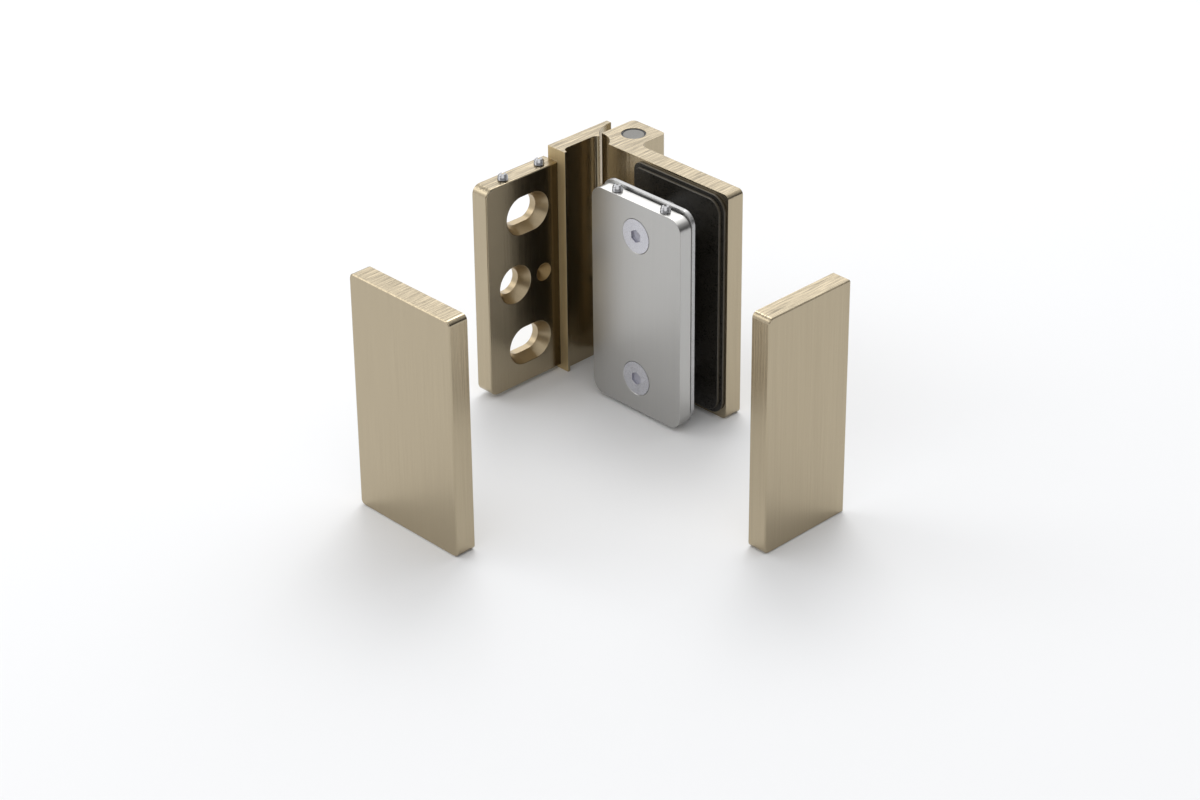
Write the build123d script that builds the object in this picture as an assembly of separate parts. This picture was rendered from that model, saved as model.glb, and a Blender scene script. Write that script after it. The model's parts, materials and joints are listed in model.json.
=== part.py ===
from build123d import *
import math
import os

# Glass door hinge, wall to glass, for a swing of 90 degrees. The two cover caps are taken off and
# stand on the same surface as the hinge. All sizes are in millimetres.
# The origin is on the wall face, at the centre of the round screw hole. +X points away from the
# wall, +Y runs along the wall towards the knuckle and +Z is up. The closed door glass lies along +X.

# Height of both leaves, and how far their plates stop short of it at the foot and at the head
leaf_height = 90.0
plate_lift = 1.6
plate_drop = 4.9

# Wall leaf: flat plate with the screw holes
wall_plate_thickness = 7.2
wall_plate_outer = 13.1
wall_plate_inner = 21.7
wall_plate_corner = 3.4
screw_inset = 15.35
screw_hole = 10.0
screw_sink = 15.0
screw_sink_depth = 2.8
slot_travel = 5.2
slot_shift = 6.7
seat_shift = 14.0
seat_width = 7.0
seat_tip = 0.4
seat_depth = 3.2

# Wall leaf: block beside the plate, its channel and the hollow that the knuckle turns in
block_back = 2.2
block_front = 11.1
block_rib = 1.1
channel_depth = 2.6
channel_end = 40.3
channel_round = 2.6
flange_past_pin = 0.9
swing_clearance = 0.6

# Hinge pin and knuckles
pin_x = 17.0
pin_y = 50.4
pin_diameter = 8.0
pin_recess = 0.3
pin_bevel = 0.3
knuckle_width = 16.8
knuckle_height = 28.0
knuckle_corner = 2.0
knuckle_web = 3.4
barrel_gap = 0.4
neck_rise = 7.4
neck_corner = 2.0
bush_wall = 0.5
running_clearance = 0.03
bush_sink = 0.2
washer_diameter = 15.0
washer_thickness = 1.0
washer_bore_gap = 0.3
washer_play = 0.1

# Glass leaf
glass_plate_thickness = 7.4
glass_leaf_length = 59.7
glass_leaf_corner = 2.0
pin_offset = 12.7
notch_depth = 4.8
notch_reach = 7.9
pocket_reach = 2.5

# Gasket on the glass leaf, in two sheets
gasket_start = 14.0
gasket_margin = 1.3
gasket_end_margin = 1.0
gasket_corner = 6.0
gasket_inner_corner = 3.4
gasket_sheet = 1.0
gasket_step = 1.4
gasket_pad = 1.2

# Clamp plate, its pad, and the gap that holds the door glass
glass_thickness = 10.0
clamp_start = 11.6
clamp_width = 44.1
clamp_thickness = 5.8
clamp_corner = 5.2
clamp_bevel = 0.5
clamp_pad_thickness = 1.7
clamp_pad_rise = 1.2

# Clamp bolts, M6 countersunk with a 4 mm socket, and their sleeves
bolt_inset = 13.05
bolt_diameter = 6.0
bolt_head = 13.4
bolt_socket = 4.0
bolt_socket_depth = 2.6
bolt_grip = 5.8
bolt_clearance = 0.3
tapped_clearance = 0.02
tapped_spare = 0.6
sleeve_diameter = 15.0
sleeve_gap = 0.3

# Jack screws in the top edges of both plates
jack_diameter = 3.8
jack_length = 8.0
jack_rise = 2.0
jack_slot_width = 0.7
jack_slot_depth = 0.9
wall_jack_near = 16.0
wall_jack_far = -1.6
clamp_jack_spacing = 23.8

# Grub screw that locks the pin in the middle knuckle
lock_diameter = 4.0
lock_socket = 2.0
lock_socket_depth = 1.8
lock_sink = 0.3

# Covers
cover_wall = 1.4
cover_clearance = 0.2
cover_corner = 2.0
cover_edge = 0.4
cover_end_margin = 4.9
cover_block_gap = 0.6
wall_cover_rim = 1.0
clamp_cover_rim = 1.0
wall_cover_out = 139.8
clamp_cover_out = 108.9

# Broken edges, how far a cutter passes the surface it cuts, and the distance within which two
# places count as one
edge_break = 0.35
overshoot = 1.0
touch = 0.01

# Heights above the screw line
plate_height = leaf_height - plate_lift - plate_drop
plate_low = -plate_height / 2
plate_high = plate_height / 2
foot = plate_low - plate_lift
head = foot + leaf_height
lower_knuckle_top = foot + knuckle_height
upper_knuckle_foot = head - knuckle_height
barrel_foot = lower_knuckle_top + washer_thickness + washer_play
barrel_head = upper_knuckle_foot - washer_thickness - washer_play

# Places that follow from the sizes above
knuckle_half = knuckle_width / 2
glass_face = pin_y - pin_offset
glass_back = glass_face + glass_plate_thickness
glass_end = pin_x + glass_leaf_length
pin_radius = pin_diameter / 2
bush_bore = pin_radius + running_clearance
bush_radius = bush_bore + bush_wall
corner_reach = math.hypot(knuckle_half, max(pin_offset - notch_depth, knuckle_half))
swing_radius = corner_reach + swing_clearance
gasket_front = glass_face - gasket_sheet
pad_front = gasket_front - gasket_pad
clamp_pad_back = pad_front - glass_thickness
clamp_back = clamp_pad_back - clamp_pad_thickness
clamp_front = clamp_back - clamp_thickness
clamp_x = pin_x + clamp_start
clamp_centre = clamp_x + clamp_width / 2
bolt_heights = {"upper": plate_high - bolt_inset, "lower": plate_low + bolt_inset}


def block(x, y, z):
    """Rectangular solid between the pairs of limits x, y and z."""
    size = (x[1] - x[0], y[1] - y[0], z[1] - z[0])
    middle = ((x[0] + x[1]) / 2, (y[0] + y[1]) / 2, (z[0] + z[1]) / 2)
    return Pos(*middle) * Box(*size)


def post(radius, x, y, z):
    """Upright cylinder on the axis x, y between the limits z."""
    return Pos(x, y, z[0]) * extrude(Circle(radius), z[1] - z[0])


def rod_y(radius, x, z, y):
    """Cylinder along Y between the limits y."""
    return extrude(Plane.XZ.offset(-y[1]) * Pos(x, z) * Circle(radius), y[1] - y[0])


def sheet_xz(x, z, y, corner):
    """Upright sheet parallel to the X-Z plane with four rounded corners."""
    outline = RectangleRounded(x[1] - x[0], z[1] - z[0], corner)
    middle = Pos((x[0] + x[1]) / 2, (z[0] + z[1]) / 2)
    return extrude(Plane.XZ.offset(-y[1]) * middle * outline, y[1] - y[0])


def edges_at(solid, axis, place, along=None):
    """Edges whose middle lies at a place on an axis, and that run along another axis if one is given."""
    edges = solid.edges() if along is None else solid.edges().filter_by(along)
    return edges.filter_by_position(axis, place - touch, place + touch)


def sunk_hole(outlines, y, z):
    """Cutter through the wall plate for a screw, tapered at the front by its countersink.

    outlines are the sketches of the hole and of the countersink's mouth."""
    hole, mouth = outlines
    sink_foot = wall_plate_thickness - screw_sink_depth
    through = extrude(Plane.YZ.offset(-overshoot) * Pos(y, z) * hole, sink_foot + overshoot)
    floor = Plane.YZ.offset(sink_foot) * Pos(y, z) * hole
    face = Plane.YZ.offset(wall_plate_thickness) * Pos(y, z) * mouth
    return through + loft([floor, face])


def wall_plate():
    """Flat plate of the wall leaf, with its screw holes, before it joins the block."""
    sides = (-wall_plate_outer, wall_plate_inner)
    plate = block((0, wall_plate_thickness), sides, (plate_low, plate_high))
    plate = fillet(edges_at(plate, Axis.Y, -wall_plate_outer, Axis.X), wall_plate_corner)
    rim = edges_at(plate, Axis.X, wall_plate_thickness)
    plate = chamfer(rim.sort_by(Axis.Y)[:-1], edge_break)

    round_hole = (Circle(screw_hole / 2), Circle(screw_sink / 2))
    slot = (SlotCenterToCenter(slot_travel, screw_hole), SlotCenterToCenter(slot_travel, screw_sink))
    plate -= sunk_hole(round_hole, 0, 0)
    for z in (plate_low + screw_inset, plate_high - screw_inset):
        plate -= sunk_hole(slot, slot_shift, z)
    seat_plane = Plane((wall_plate_thickness, seat_shift, 0), z_dir=(-1, 0, 0))
    plate -= Solid.make_cone(seat_width / 2, seat_tip, seat_depth, seat_plane)
    for y in (wall_jack_near, wall_jack_far):
        plate -= jack_hole(wall_plate_thickness / 2, y)
    return plate


def wall_block():
    """Full-height block with the channel in its front and the hollow that the knuckle turns in."""
    rib_end = wall_plate_inner + block_rib
    floor = block_front - channel_depth
    flange_end = pin_y + flange_past_pin
    with BuildLine() as outline:
        Polyline(
            (block_back, flange_end),
            (block_back, wall_plate_inner),
            (block_front, wall_plate_inner),
            (block_front, rib_end),
        )
        RadiusArc((block_front, rib_end), (floor, rib_end + channel_depth), channel_depth)
        Line((floor, rib_end + channel_depth), (floor, channel_end - channel_round))
        RadiusArc((floor, channel_end - channel_round), (floor + channel_round, channel_end), channel_round)
        Polyline(
            (floor + channel_round, channel_end),
            (pin_x, channel_end),
            (pin_x, flange_end),
            (block_back, flange_end),
        )
    tall = Pos(0, 0, foot) * extrude(make_face(outline.line), leaf_height)
    return tall - post(swing_radius, pin_x, pin_y, (foot, head))


def middle_knuckle():
    """Round barrel between the knuckles of the glass leaf, with the neck that joins it to the block."""
    z = (barrel_foot, barrel_head)
    neck = block((block_back, pin_x), (pin_y - neck_rise, pin_y + knuckle_half), z)
    back_edges = edges_at(neck, Axis.X, block_back, Axis.Z)
    neck = fillet(back_edges.sort_by(Axis.Y)[-1], neck_corner)
    tip = pin_x - math.sqrt(swing_radius ** 2 - (pin_y - channel_end) ** 2)
    bridge = block((block_back, tip), (channel_end, pin_y), z)
    knuckle = neck + bridge + post(knuckle_half, pin_x, pin_y, z)
    knuckle -= post(pin_radius, pin_x, pin_y, z)
    lock_reach = (pin_y, pin_y + knuckle_half + overshoot)
    return knuckle - rod_y(lock_diameter / 2 + tapped_clearance, pin_x, 0, lock_reach)


def wall_leaf():
    """Plate, block and middle knuckle in one casting."""
    return wall_plate() + wall_block() + middle_knuckle()


def jack_hole(x, y):
    """Cutter for the blind tapped hole of a jack screw in a plate's top edge."""
    depth = jack_length - jack_rise + tapped_spare
    return post(jack_diameter / 2 + tapped_clearance, x, y, (plate_high - depth, plate_high + overshoot))


def jack_screw(x, y):
    """Slotted grub screw that stands proud of a plate's top edge and wedges the cover."""
    top = plate_high + jack_rise
    screw = post(jack_diameter / 2, x, y, (top - jack_length, top))
    reach = jack_diameter / 2 + overshoot
    return screw - block(
        (x - reach, x + reach),
        (y - jack_slot_width / 2, y + jack_slot_width / 2),
        (top - jack_slot_depth, top + overshoot),
    )


def glass_leaf():
    """Plate that carries the glass, its square knuckles and the pocket between them."""
    plate = block((pin_x - knuckle_half, glass_end), (glass_face, glass_back), (foot, head))
    plate = fillet(edges_at(plate, Axis.X, glass_end, Axis.Y), glass_leaf_corner)
    knuckle = block(
        (pin_x - knuckle_half, pin_x + knuckle_half),
        (glass_face + notch_depth / 2, pin_y + knuckle_half),
        (foot, head),
    )
    knuckle = fillet(edges_at(knuckle, Axis.Y, pin_y + knuckle_half, Axis.Z), knuckle_corner)
    leaf = plate + knuckle
    inside = edges_at(leaf, Axis.Y, glass_back, Axis.Z)
    leaf = fillet(inside.filter_by_position(Axis.X, pin_x, glass_end - touch), knuckle_web)

    notch_radius = (notch_reach ** 2 + notch_depth ** 2) / (2 * notch_depth)
    notch_y = glass_face + notch_depth - notch_radius
    leaf -= post(notch_radius, pin_x - notch_reach, notch_y, (foot - overshoot, head + overshoot))

    middle = (lower_knuckle_top, upper_knuckle_foot)
    past = knuckle_half + knuckle_web + overshoot
    leaf -= block((pin_x - past, pin_x + past), (glass_back, pin_y + past), middle)
    leaf -= block((pin_x - past, pin_x - pocket_reach), (glass_face - overshoot, pin_y + past), middle)
    leaf -= post(knuckle_half + barrel_gap, pin_x, pin_y, middle)
    leaf -= post(bush_radius, pin_x, pin_y, (foot, head))
    depth = bolt_grip + tapped_spare
    tapped = bolt_diameter / 2 + tapped_clearance
    for z in bolt_heights.values():
        leaf -= rod_y(tapped, clamp_centre, z, (glass_face - overshoot, glass_face + depth))
    return leaf


def hinge_pin():
    """Pin held in the middle knuckle, just below flush at both ends."""
    pin = post(pin_radius, pin_x, pin_y, (foot + pin_recess, head - pin_recess))
    return chamfer(pin.edges().filter_by(GeomType.CIRCLE), pin_bevel)


def bush(z):
    """Sleeve pressed into a knuckle of the glass leaf, in which the pin turns."""
    return post(bush_radius, pin_x, pin_y, z) - post(bush_bore, pin_x, pin_y, z)


def washer(foot_height):
    """Thrust washer on the pin, between two knuckles."""
    z = (foot_height, foot_height + washer_thickness)
    return post(washer_diameter / 2, pin_x, pin_y, z) - post(pin_radius + washer_bore_gap, pin_x, pin_y, z)


def hexagon_y(width, x, z, y):
    """Six-sided socket cutter along Y, with the width across its flats."""
    outline = RegularPolygon(width / 2, 6, major_radius=False)
    return extrude(Plane.XZ.offset(-y[1]) * Pos(x, z) * outline, y[1] - y[0])


def pin_lock_screw():
    """Socket grub screw in the back of the middle knuckle, tight on the pin."""
    near = pin_y + pin_radius
    far = pin_y + knuckle_half - lock_sink
    screw = rod_y(lock_diameter / 2, pin_x, 0, (near, far))
    return screw - hexagon_y(lock_socket, pin_x, 0, (far - lock_socket_depth, far))


def sleeve_holes(sheet, y, radius):
    """Sheet between the limits y with a hole of one radius at each bolt."""
    for z in bolt_heights.values():
        sheet -= rod_y(radius, clamp_centre, z, (y[0] - overshoot, y[1] + overshoot))
    return sheet


def gasket(inset, y):
    """Rubber sheet of the gasket, set in from the outline of the first sheet."""
    margin = gasket_margin + inset
    x = (pin_x + gasket_start + inset, glass_end - gasket_end_margin - inset)
    sheet = block(x, y, (foot + margin, head - margin))
    sheet = fillet(edges_at(sheet, Axis.X, x[0], Axis.Y), gasket_inner_corner - inset / 2)
    sheet = fillet(edges_at(sheet, Axis.X, x[1], Axis.Y), gasket_corner - inset / 2)
    return sleeve_holes(sheet, y, sleeve_diameter / 2 + tapped_clearance)


def clamp_outline(y, rise=0):
    """Sheet with the outline of the clamp plate, between the limits y."""
    x = (clamp_x, clamp_x + clamp_width)
    return sheet_xz(x, (plate_low + rise, plate_high + rise), y, clamp_corner)


def clamp_plate():
    """Steel plate with two countersunk bolt holes and two tapped holes in its top edge."""
    plate = clamp_outline((clamp_front, clamp_back))
    plate = chamfer(edges_at(plate, Axis.Y, clamp_back), clamp_bevel)
    sink = bolt_head / 2 + tapped_clearance
    hole = bolt_diameter / 2 + bolt_clearance
    for z in bolt_heights.values():
        plate -= rod_y(hole, clamp_centre, z, (clamp_front - overshoot, clamp_back + overshoot))
        plate -= Solid.make_cone(sink, hole, sink - hole, Plane((clamp_centre, clamp_front, z), z_dir=(0, 1, 0)))
    for side in (-0.5, 0.5):
        plate -= jack_hole(clamp_centre + side * clamp_jack_spacing, (clamp_front + clamp_back) / 2)
    return plate


def clamp_pad():
    """Pad between the clamp plate and the door glass, set a little higher than the plate."""
    sheet = clamp_outline((clamp_back, clamp_pad_back), clamp_pad_rise)
    return sleeve_holes(sheet, (clamp_back, clamp_pad_back), bolt_diameter / 2 + bolt_clearance)


def clamp_bolt(z):
    """Countersunk bolt, head flush with the clamp plate, threaded into the glass leaf."""
    radius = bolt_diameter / 2
    bolt = rod_y(radius, clamp_centre, z, (clamp_front, glass_face + bolt_grip))
    cone = Plane((clamp_centre, clamp_front, z), z_dir=(0, 1, 0))
    bolt += Solid.make_cone(bolt_head / 2, radius, bolt_head / 2 - radius, cone)
    socket = (clamp_front - overshoot, clamp_front + bolt_socket_depth)
    return bolt - hexagon_y(bolt_socket, clamp_centre, z, socket)


def bolt_sleeve(z):
    """Sleeve that keeps the door glass off a bolt, seated on the glass leaf."""
    y = (clamp_pad_back + sleeve_gap, glass_face)
    tube = rod_y(sleeve_diameter / 2, clamp_centre, z, y)
    bore = bolt_diameter / 2 + bolt_clearance
    return tube - rod_y(bore, clamp_centre, z, (y[0] - overshoot, y[1] + overshoot))


def wall_cover():
    """Cap over the wall plate, open at the back and at the end that meets the block."""
    front = wall_plate_thickness + cover_wall + wall_cover_out
    back = front - (wall_plate_thickness + cover_wall - wall_cover_rim)
    start = -(wall_plate_outer + cover_end_margin)
    end = wall_plate_inner - cover_block_gap
    shell = block((back, front), (start, end), (foot, head))
    shell = fillet(edges_at(shell, Axis.Y, start, Axis.X), cover_corner)
    rim = edges_at(shell, Axis.X, front)
    shell = chamfer(rim.sort_by(Axis.Y)[:-1], cover_edge)
    inside = start + cover_wall
    z = (foot + cover_wall, head - cover_wall)
    hollow = block((back - overshoot, front - cover_wall), (inside, end + overshoot), z)
    hollow = fillet(edges_at(hollow, Axis.Y, inside, Axis.X), cover_corner - cover_wall)
    return shell - hollow


def clamp_cover():
    """Cap over the clamp plate, open at the back."""
    front = clamp_front - cover_wall - clamp_cover_out
    back = front + cover_wall + clamp_thickness + clamp_pad_thickness - clamp_cover_rim
    x = (clamp_x - cover_clearance - cover_wall, glass_end)
    shell = sheet_xz(x, (foot, head), (front, back), cover_corner)
    shell = chamfer(edges_at(shell, Axis.Y, front), cover_edge)
    hollow = sheet_xz(
        (x[0] + cover_wall, x[1] - cover_wall),
        (foot + cover_wall, head - cover_wall),
        (front + cover_wall, back + overshoot),
        cover_corner - cover_wall,
    )
    return shell - hollow


nodes = {
    "wall_leaf": wall_leaf(),
    "glass_leaf": glass_leaf(),
    "hinge_pin": hinge_pin(),
    "upper_bush": bush((upper_knuckle_foot, head - bush_sink)),
    "lower_bush": bush((foot + bush_sink, lower_knuckle_top)),
    "upper_washer": washer(barrel_head),
    "lower_washer": washer(lower_knuckle_top),
    "pin_lock_screw": pin_lock_screw(),
    "gasket_sheet": gasket(0, (gasket_front, glass_face)),
    "gasket_pad": gasket(gasket_step, (pad_front, gasket_front)),
    "clamp_plate": clamp_plate(),
    "clamp_pad": clamp_pad(),
    "wall_cover": wall_cover(),
    "clamp_cover": clamp_cover(),
    "wall_jack_screw_near": jack_screw(wall_plate_thickness / 2, wall_jack_near),
    "wall_jack_screw_far": jack_screw(wall_plate_thickness / 2, wall_jack_far),
}
for level, height in bolt_heights.items():
    nodes[f"clamp_bolt_{level}"] = clamp_bolt(height)
    nodes[f"bolt_sleeve_{level}"] = bolt_sleeve(height)
for name, side in (("near", -0.5), ("far", 0.5)):
    place = clamp_centre + side * clamp_jack_spacing
    nodes[f"clamp_jack_screw_{name}"] = jack_screw(place, (clamp_front + clamp_back) / 2)

os.makedirs("parts", exist_ok=True)
for name, shape in nodes.items():
    export_step(shape, f"parts/{name}.step")
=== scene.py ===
import json
import math

import bpy
from mathutils import Euler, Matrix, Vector

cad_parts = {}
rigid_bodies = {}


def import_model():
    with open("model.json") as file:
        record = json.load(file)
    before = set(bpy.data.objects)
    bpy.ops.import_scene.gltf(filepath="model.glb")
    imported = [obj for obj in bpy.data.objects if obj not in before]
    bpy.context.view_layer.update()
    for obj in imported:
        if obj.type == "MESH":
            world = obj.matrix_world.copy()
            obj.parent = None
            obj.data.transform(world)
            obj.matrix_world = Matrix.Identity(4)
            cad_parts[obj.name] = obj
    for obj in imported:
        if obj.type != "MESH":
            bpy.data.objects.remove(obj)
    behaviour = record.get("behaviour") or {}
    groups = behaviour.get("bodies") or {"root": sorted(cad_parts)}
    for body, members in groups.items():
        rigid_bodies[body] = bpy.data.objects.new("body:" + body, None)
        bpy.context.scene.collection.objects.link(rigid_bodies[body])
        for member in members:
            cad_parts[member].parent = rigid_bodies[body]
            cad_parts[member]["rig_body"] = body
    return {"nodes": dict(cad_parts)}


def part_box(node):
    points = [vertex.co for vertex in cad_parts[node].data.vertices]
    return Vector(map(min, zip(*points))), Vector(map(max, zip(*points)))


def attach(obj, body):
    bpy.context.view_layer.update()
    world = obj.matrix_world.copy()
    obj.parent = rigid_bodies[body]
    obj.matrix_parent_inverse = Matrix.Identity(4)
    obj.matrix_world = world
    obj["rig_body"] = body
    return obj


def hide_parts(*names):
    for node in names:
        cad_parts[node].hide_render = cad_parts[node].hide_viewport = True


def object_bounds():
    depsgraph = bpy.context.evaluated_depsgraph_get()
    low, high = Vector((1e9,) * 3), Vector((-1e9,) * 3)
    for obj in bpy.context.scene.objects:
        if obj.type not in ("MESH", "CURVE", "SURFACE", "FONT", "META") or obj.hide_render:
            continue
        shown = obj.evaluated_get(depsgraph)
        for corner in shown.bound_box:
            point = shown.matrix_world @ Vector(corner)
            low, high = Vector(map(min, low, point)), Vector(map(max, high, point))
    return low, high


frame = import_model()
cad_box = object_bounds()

bl_info = {
    "name": "Glass door hinge",
    "version": (1, 0, 0),
    "blender": (4, 5, 0),
    "location": "View3D > Sidebar > Hinge",
    "description": "Finishes a glass door hinge: eased castings, threaded screws, brushed metal"
                   " and a studio",
    "category": "Object",
}

MM = 0.001

# Points that are closer than this count as one.
MERGE = 2e-6
# How far past a flat a point still counts as part of it, and how far behind one it lies in a hole.
NEAR = 0.1 * MM
SKIN = 0.05 * MM
# How nearly a face looks along an axis to be taken as square to it.
SQUARE = 0.9

# Faces that meet at less than the first angle become one, edges past the second are rounded, and
# shading is smooth up to the third.
FLAT_ANGLE = math.radians(0.4)
SHARP_ANGLE = math.radians(29)
SMOOTH_ANGLE = math.radians(30)

# Corners of turned pieces, of rings and of one turn of a thread.
ROUND_SIDES, RING_SIDES, THREAD_STEPS = 96, 64, 32


class HingeEdges(bpy.types.PropertyGroup):
    """How far the edges of the pieces are rounded."""
    casting: bpy.props.FloatProperty(
        name="Casting edge", description="Rounding of the leaves' edges",
        default=0.12 * MM, unit="LENGTH",
    )
    cover: bpy.props.FloatProperty(
        name="Cover edge", description="Rounding of the covers' edges",
        default=0.03 * MM, unit="LENGTH",
    )
    clamp: bpy.props.FloatProperty(
        name="Clamp plate edge", description="Rounding of the clamp plate's edges",
        default=0.1 * MM, unit="LENGTH",
    )
    rubber: bpy.props.FloatProperty(
        name="Rubber edge", description="Rounding of the gasket and the pad",
        default=0.22 * MM, unit="LENGTH",
    )
    turned: bpy.props.FloatProperty(
        name="Turned edge", description="Rounding of rings, sleeves and bolt heads",
        default=0.12 * MM, unit="LENGTH",
    )


class HingeThreads(bpy.types.PropertyGroup):
    """Pitches and depth of the screws' threads."""
    bolt_pitch: bpy.props.FloatProperty(
        name="Bolt pitch", description="Pitch of the clamp bolts' thread",
        default=1.0 * MM, unit="LENGTH",
    )
    jack_pitch: bpy.props.FloatProperty(
        name="Jack screw pitch", description="Pitch of the thread of the jack screws and the lock screw",
        default=0.5 * MM, unit="LENGTH",
    )
    depth: bpy.props.FloatProperty(
        name="Thread depth", description="Depth of a thread as a share of its pitch",
        default=0.55, min=0.1, max=0.8,
    )


class HingeColours(bpy.types.PropertyGroup):
    """Colours of the finishes."""
    gold: bpy.props.FloatVectorProperty(
        name="Gold", description="Brushed gold of the castings and covers",
        default=(0.441, 0.372, 0.26), subtype="COLOR", size=3, min=0, max=1,
    )
    steel: bpy.props.FloatVectorProperty(
        name="Clamp plate", description="Brushed metal of the clamp plate",
        default=(0.468, 0.463, 0.449), subtype="COLOR", size=3, min=0, max=1,
    )
    screw: bpy.props.FloatVectorProperty(
        name="Bolts", description="Steel of the bolts and the lock screw",
        default=(0.57, 0.57, 0.61), subtype="COLOR", size=3, min=0, max=1,
    )
    jack: bpy.props.FloatVectorProperty(
        name="Jack screws", description="Polished steel of the jack screws",
        default=(0.36, 0.36, 0.37), subtype="COLOR", size=3, min=0, max=1,
    )
    pin: bpy.props.FloatVectorProperty(
        name="Pin", description="Steel of the hinge pin",
        default=(0.172, 0.168, 0.158), subtype="COLOR", size=3, min=0, max=1,
    )
    rubber: bpy.props.FloatVectorProperty(
        name="Rubber", description="Black rubber of the gasket",
        default=(0.02, 0.018, 0.0145), subtype="COLOR", size=3, min=0, max=1,
    )
    rubber_edge: bpy.props.FloatVectorProperty(
        name="Rubber edge", description="Cut edge of the rubber",
        default=(0.075, 0.064, 0.046), subtype="COLOR", size=3, min=0, max=1,
    )
    pad: bpy.props.FloatVectorProperty(
        name="Pad", description="Pale pad behind the clamp plate",
        default=(0.44, 0.44, 0.44), subtype="COLOR", size=3, min=0, max=1,
    )
    polymer: bpy.props.FloatVectorProperty(
        name="Polymer", description="Dark polymer of the bushes and washers",
        default=(0.03, 0.03, 0.032), subtype="COLOR", size=3, min=0, max=1,
    )
    sleeve: bpy.props.FloatVectorProperty(
        name="Sleeves", description="Pale polymer of the bolt sleeves",
        default=(0.5, 0.5, 0.49), subtype="COLOR", size=3, min=0, max=1,
    )
    floor: bpy.props.FloatVectorProperty(
        name="Floor", description="Pale floor",
        default=(0.874, 0.88, 0.892), subtype="COLOR", size=3, min=0, max=1,
    )


class HingeStudio(bpy.types.PropertyGroup):
    """Camera and light."""
    light: bpy.props.FloatProperty(
        name="Light", description="Brightness of the studio's wide lights", default=1.05, min=0,
    )
    back_power: bpy.props.FloatProperty(
        name="Back softbox", description="Power of the softbox above and behind the hinge",
        default=2.8, min=0, unit="POWER",
    )
    left_power: bpy.props.FloatProperty(
        name="Left softbox", description="Power of the softbox to the left",
        default=0.9, min=0, unit="POWER",
    )
    camera_place: bpy.props.FloatVectorProperty(
        name="Camera", description="Where the camera stands",
        default=(0.75543, -0.67754, 0.53498), size=3, subtype="TRANSLATION", unit="LENGTH",
    )
    camera_turn: bpy.props.FloatProperty(
        name="Camera turn", description="Turn of the camera to the left of the Y axis",
        default=math.radians(44.93), subtype="ANGLE",
    )
    camera_drop: bpy.props.FloatProperty(
        name="Camera drop", description="How far the camera looks down",
        default=math.radians(29.18), subtype="ANGLE",
    )
    lens: bpy.props.FloatProperty(
        name="Lens", description="Focal length in millimetres on a 36 mm sensor",
        default=94.91, min=1,
    )


def settings():
    """The scene, which holds the property groups above."""
    return bpy.context.scene


def deselect():
    """Leaves edit mode if a piece is in it, and selects nothing."""
    if bpy.context.object and bpy.context.object.mode != "OBJECT":
        bpy.ops.object.mode_set(mode="OBJECT")
    bpy.ops.object.select_all(action="DESELECT")


def pick(piece):
    """Makes a piece the only selected and the active one."""
    deselect()
    piece.select_set(True)
    bpy.context.view_layer.objects.active = piece
    return piece


def added(name):
    """Names the primitive that was just added."""
    piece = bpy.context.object
    piece.name = name
    piece.data.name = name
    return piece


def copied(source, name):
    """Copy of a piece, with a mesh of its own."""
    piece = bpy.data.objects.new(name, source.data.copy())
    bpy.context.scene.collection.objects.link(piece)
    return piece


def settle(piece):
    """Moves a piece's place, turn and scale into its mesh."""
    pick(piece)
    bpy.ops.object.transform_apply(location=True, rotation=True, scale=True)
    return piece


def edit_all(piece):
    """Enters edit mode with the whole of a piece selected."""
    pick(piece)
    bpy.ops.object.mode_set(mode="EDIT")
    bpy.ops.mesh.select_all(action="SELECT")


def edit_where(piece, kind, test):
    """Enters edit mode with only those edges, by their two ends, or faces selected that pass a test."""
    pick(piece)
    bpy.ops.object.mode_set(mode="EDIT")
    bpy.ops.mesh.select_mode(type=kind)
    bpy.ops.mesh.select_all(action="DESELECT")
    bpy.ops.object.mode_set(mode="OBJECT")
    mesh = piece.data
    if kind == "EDGE":
        for edge in mesh.edges:
            edge.select = test(*(mesh.vertices[i].co for i in edge.vertices))
    else:
        for face in mesh.polygons:
            face.select = test(face)
    bpy.ops.object.mode_set(mode="EDIT")


def leave_edit():
    """Ends the edit of the piece in edit mode."""
    bpy.ops.object.mode_set(mode="OBJECT")


def at_height(*heights):
    """Test for edges that lie level at one of some heights."""
    return lambda a, b: any(max(abs(a.z - z), abs(b.z - z)) < MERGE for z in heights)


def faces_down(face):
    """Test for faces that look down."""
    return face.normal.z < -SQUARE


def apply_modifier(piece, kind, **values):
    """Adds one modifier to a piece with the values given and applies it."""
    pick(piece)
    bpy.ops.object.modifier_add(type=kind)
    modifier = piece.modifiers[-1]
    for name, value in values.items():
        setattr(modifier, name, value)
    bpy.ops.object.modifier_apply(modifier=modifier.name)
    return piece


def cut_with(piece, tool, operation="DIFFERENCE"):
    """Cuts a piece with another closed mesh, or joins the two, and removes the other."""
    apply_modifier(piece, "BOOLEAN", operation=operation, object=tool, solver="EXACT")
    bpy.data.objects.remove(tool)
    return piece


def smooth(piece):
    """Smooth shading that keeps flat faces flat and hard edges hard."""
    pick(piece)
    bpy.ops.object.shade_smooth_by_angle(angle=SMOOTH_ANGLE)
    return apply_modifier(piece, "WEIGHTED_NORMAL", keep_sharp=True)


def ease(piece, width):
    """Rounds every hard edge of a piece."""
    apply_modifier(
        piece, "BEVEL", limit_method="ANGLE", angle_limit=SHARP_ANGLE, width=width, segments=3,
        use_clamp_overlap=False, miter_outer="MITER_ARC",
    )
    return smooth(piece)


def casting_copy(node, name):
    """Copy of a rigid node, with its loose triangles merged into whole faces."""
    piece = pick(copied(frame["nodes"][node], name))
    bpy.ops.mesh.customdata_custom_splitnormals_clear()
    edit_all(piece)
    bpy.ops.mesh.remove_doubles(threshold=MERGE)
    bpy.ops.mesh.dissolve_limited(angle_limit=FLAT_ANGLE)
    leave_edit()
    piece.data.materials.clear()
    return piece


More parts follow.
